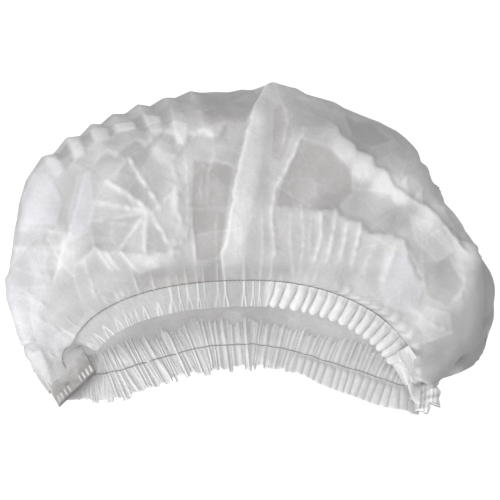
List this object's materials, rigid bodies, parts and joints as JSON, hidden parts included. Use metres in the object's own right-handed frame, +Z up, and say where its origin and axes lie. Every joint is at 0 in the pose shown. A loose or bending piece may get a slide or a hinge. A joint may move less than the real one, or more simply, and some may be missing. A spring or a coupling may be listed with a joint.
{
  "type": "disposable hair cover cap",
  "caption": "Disposable clip cap of pleated white non-woven, puffed open and lying on its back wall, with gathered elastic hems and a welded tab at each end.",
  "frame": {"origin": "bottom centre of the bounding box, on the surface that the cap lies on", "axes": "+Z up from that surface, +X from the left tab to the right tab as seen in the mouth, +Y away from the mouth, over the crown"},
  "size_m": [0.2752, 0.1752, 0.0952],
  "materials": {
    "crown": "thin white spunbond non-woven",
    "front_hem": "folded and gathered non-woven",
    "back_hem": "folded and gathered non-woven",
    "front_elastic": "thin dark elastic thread",
    "back_elastic": "thin dark elastic thread",
    "left_tab": "stacked non-woven, welded across",
    "right_tab": "stacked non-woven, welded across"
  },
  "bodies": {
    "root": {"crown": "crown", "front_hem": "front_hem", "back_hem": "back_hem", "front_elastic": "front_elastic", "back_elastic": "back_elastic", "left_tab": "left_tab", "right_tab": "right_tab"}
  },
  "joints": []
}
